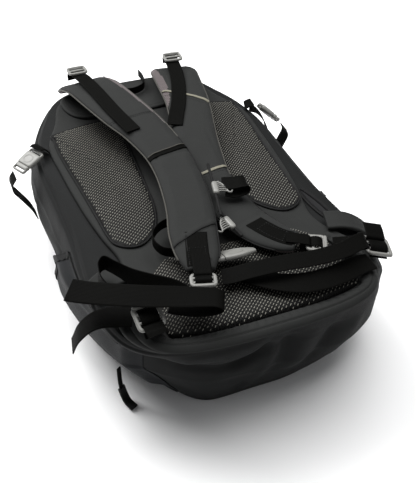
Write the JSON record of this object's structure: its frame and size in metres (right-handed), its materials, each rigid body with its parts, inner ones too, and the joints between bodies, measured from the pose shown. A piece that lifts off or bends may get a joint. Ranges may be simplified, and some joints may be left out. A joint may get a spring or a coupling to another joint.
{
  "type": "ski backpack",
  "caption": "Day-size ski backpack lying on its front: hollow bag, mesh-padded back panel, crossed shoulder straps, hip webbing, ladder locks, side-release buckles and haul loop.",
  "frame": {"origin": "centre of the flat front face, which rests on the floor", "axes": "+Z out of the back panel, away from the floor; +Y to the top of the pack; +X to the wearer's left"},
  "size_m": [0.3919, 0.5543, 0.2013],
  "materials": {
    "pack_fabric": "charcoal ripstop nylon, matt",
    "lining": "thin coated lining",
    "stretch_fabric": "blue-black stretch fabric",
    "mesh_fabric": "open spacer mesh, black with pale threads",
    "foam_fabric": "fabric over foam, matt",
    "webbing": "woven polyester webbing",
    "hardware": "light grey acetal, satin",
    "zip_metal": "painted zinc",
    "zip": "coated zip tape",
    "aluminium": "mill finish",
    "sheet_plastic": "black HDPE sheet"
  },
  "bodies": {
    "bag": {"main_bag": "pack_fabric", "main_zip_tape": "zip", "front_pocket_divider": "lining", "frame_sheet": "sheet_plastic", "frame_stay_left": "aluminium", "frame_stay_right": "aluminium", "hydration_sleeve": "lining", "side_pocket_left": "stretch_fabric", "side_pocket_right": "stretch_fabric", "back_panel": "foam_fabric", "mesh_lobe_left": "mesh_fabric", "mesh_lobe_right": "mesh_fabric", "lumbar_pad": "mesh_fabric", "lumbar_border": "foam_fabric", "harness_yoke": "foam_fabric", "adjuster_left": "webbing", "adjuster_right": "webbing", "hip_wing_left": "foam_fabric", "hip_wing_right": "foam_fabric", "hip_tab_left": "webbing", "hip_tab_right": "webbing", "hip_webbing_left": "webbing", "hip_tail_left": "webbing", "hip_webbing_right": "webbing", "hip_buckle_socket": "hardware", "sternum_tail": "webbing", "compression_upper_left": "webbing", "compression_upper_right": "webbing", "compression_left_socket": "hardware", "compression_right_socket": "hardware", "lash_strap": "webbing"},
    "strap_right": {"shoulder_strap_right": "foam_fabric", "load_lifter_right": "webbing", "lifter_buckle_right": "hardware", "strap_tab_right": "webbing", "sternum_rail_right": "webbing"},
    "strap_left": {"shoulder_strap_left": "foam_fabric", "load_lifter_left": "webbing", "lifter_buckle_left": "hardware", "strap_tab_left": "webbing", "sternum_rail_left": "webbing"},
    "strap_lock_left": {"strap_lock_left": "hardware"},
    "strap_lock_right": {"strap_lock_right": "hardware"},
    "hip_lock_left": {"hip_lock_left": "hardware"},
    "hip_lock_right": {"hip_lock_right": "hardware"},
    "sternum_left": {"sternum_clip_left": "hardware", "sternum_webbing": "webbing"},
    "sternum_right": {"sternum_clip_right": "hardware"},
    "hip_plug": {"hip_buckle_plug": "hardware"},
    "compression_plug_left": {"compression_left_plug": "hardware", "compression_lower_left": "webbing"},
    "compression_plug_right": {"compression_right_plug": "hardware", "compression_lower_right": "webbing"},
    "lid": {"top_lid": "pack_fabric"},
    "zip_left": {"main_zip_slider_left": "zip_metal"},
    "zip_right": {"main_zip_slider_right": "zip_metal"},
    "wing_zip": {"wing_zip_slider": "zip_metal"},
    "haul": {"haul_loop": "webbing"}
  },
  "joints": [
    {"name": "strap_right_lift", "type": "hinge", "parent": "bag", "child": "strap_right", "pos_m": [0, 0.24, 0.162], "axis": [-1, 0, 0], "range_deg": [0, 40]},
    {"name": "strap_left_lift", "type": "hinge", "parent": "strap_right", "child": "strap_left", "pos_m": [0, 0.24, 0.162], "axis": [-1, 0, 0], "range_deg": [0, 40]},
    {"name": "strap_lock_left_swing", "type": "hinge", "parent": "strap_left", "child": "strap_lock_left", "pos_m": [-0.055, -0.204, 0.1818], "axis": [-0.963, 0.2692, 0.0108], "range_deg": [0, 20]},
    {"name": "strap_lock_right_swing", "type": "hinge", "parent": "strap_right", "child": "strap_lock_right", "pos_m": [0.0755, -0.187, 0.1712], "axis": [-0.4311, -0.9023, 0], "range_deg": [0, 20]},
    {"name": "hip_lock_left_swing", "type": "hinge", "parent": "bag", "child": "hip_lock_left", "pos_m": [-0.1225, -0.244, 0.17], "axis": [-0.9963, -0.077, -0.0394], "range_deg": [0, 8]},
    {"name": "hip_lock_right_swing", "type": "hinge", "parent": "bag", "child": "hip_lock_right", "pos_m": [0.157, -0.196, 0.16], "axis": [-0.9377, 0.2332, 0.2577], "range_deg": [0, 20]},
    {"name": "sternum_clip_left_slide", "type": "slide", "parent": "strap_left", "child": "sternum_left", "axis": [-0.2323, -0.9724, -0.0216], "range_m": [-0.025, 0.025]},
    {"name": "sternum_clip_right_slide", "type": "slide", "parent": "strap_right", "child": "sternum_right", "axis": [0.1138, -0.9933, 0.0207], "range_m": [0, 0.015]},
    {"name": "hip_buckle_release", "type": "slide", "parent": "bag", "child": "hip_plug", "axis": [-0.9982, 0.0599, 0], "range_m": [0, 0.03]},
    {"name": "compression_release_left", "type": "slide", "parent": "bag", "child": "compression_plug_left", "axis": [-0.8408, -0.4504, -0.3003], "range_m": [0, 0.02]},
    {"name": "compression_release_right", "type": "slide", "parent": "bag", "child": "compression_plug_right", "axis": [0.6217, -0.6017, -0.5014], "range_m": [0, 0.02]},
    {"name": "lid_open", "type": "hinge", "parent": "bag", "child": "lid", "pos_m": [0, 0.261, 0.1275], "axis": [1, 0, 0], "range_deg": [0, 95]},
    {"name": "zip_left_slide", "type": "slide", "parent": "bag", "child": "zip_left", "axis": [-1, 0, 0], "range_m": [0, 0.028]},
    {"name": "zip_right_slide", "type": "slide", "parent": "bag", "child": "zip_right", "axis": [1, 0, 0], "range_m": [0, 0.028]},
    {"name": "wing_zip_slide", "type": "slide", "parent": "bag", "child": "wing_zip", "axis": [0, 1, 0], "range_m": [0, 0.06]},
    {"name": "haul_loop_lift", "type": "hinge", "parent": "bag", "child": "haul", "pos_m": [0, 0.24, 0.162], "axis": [-1, 0, 0], "range_deg": [0, 80]}
  ]
}
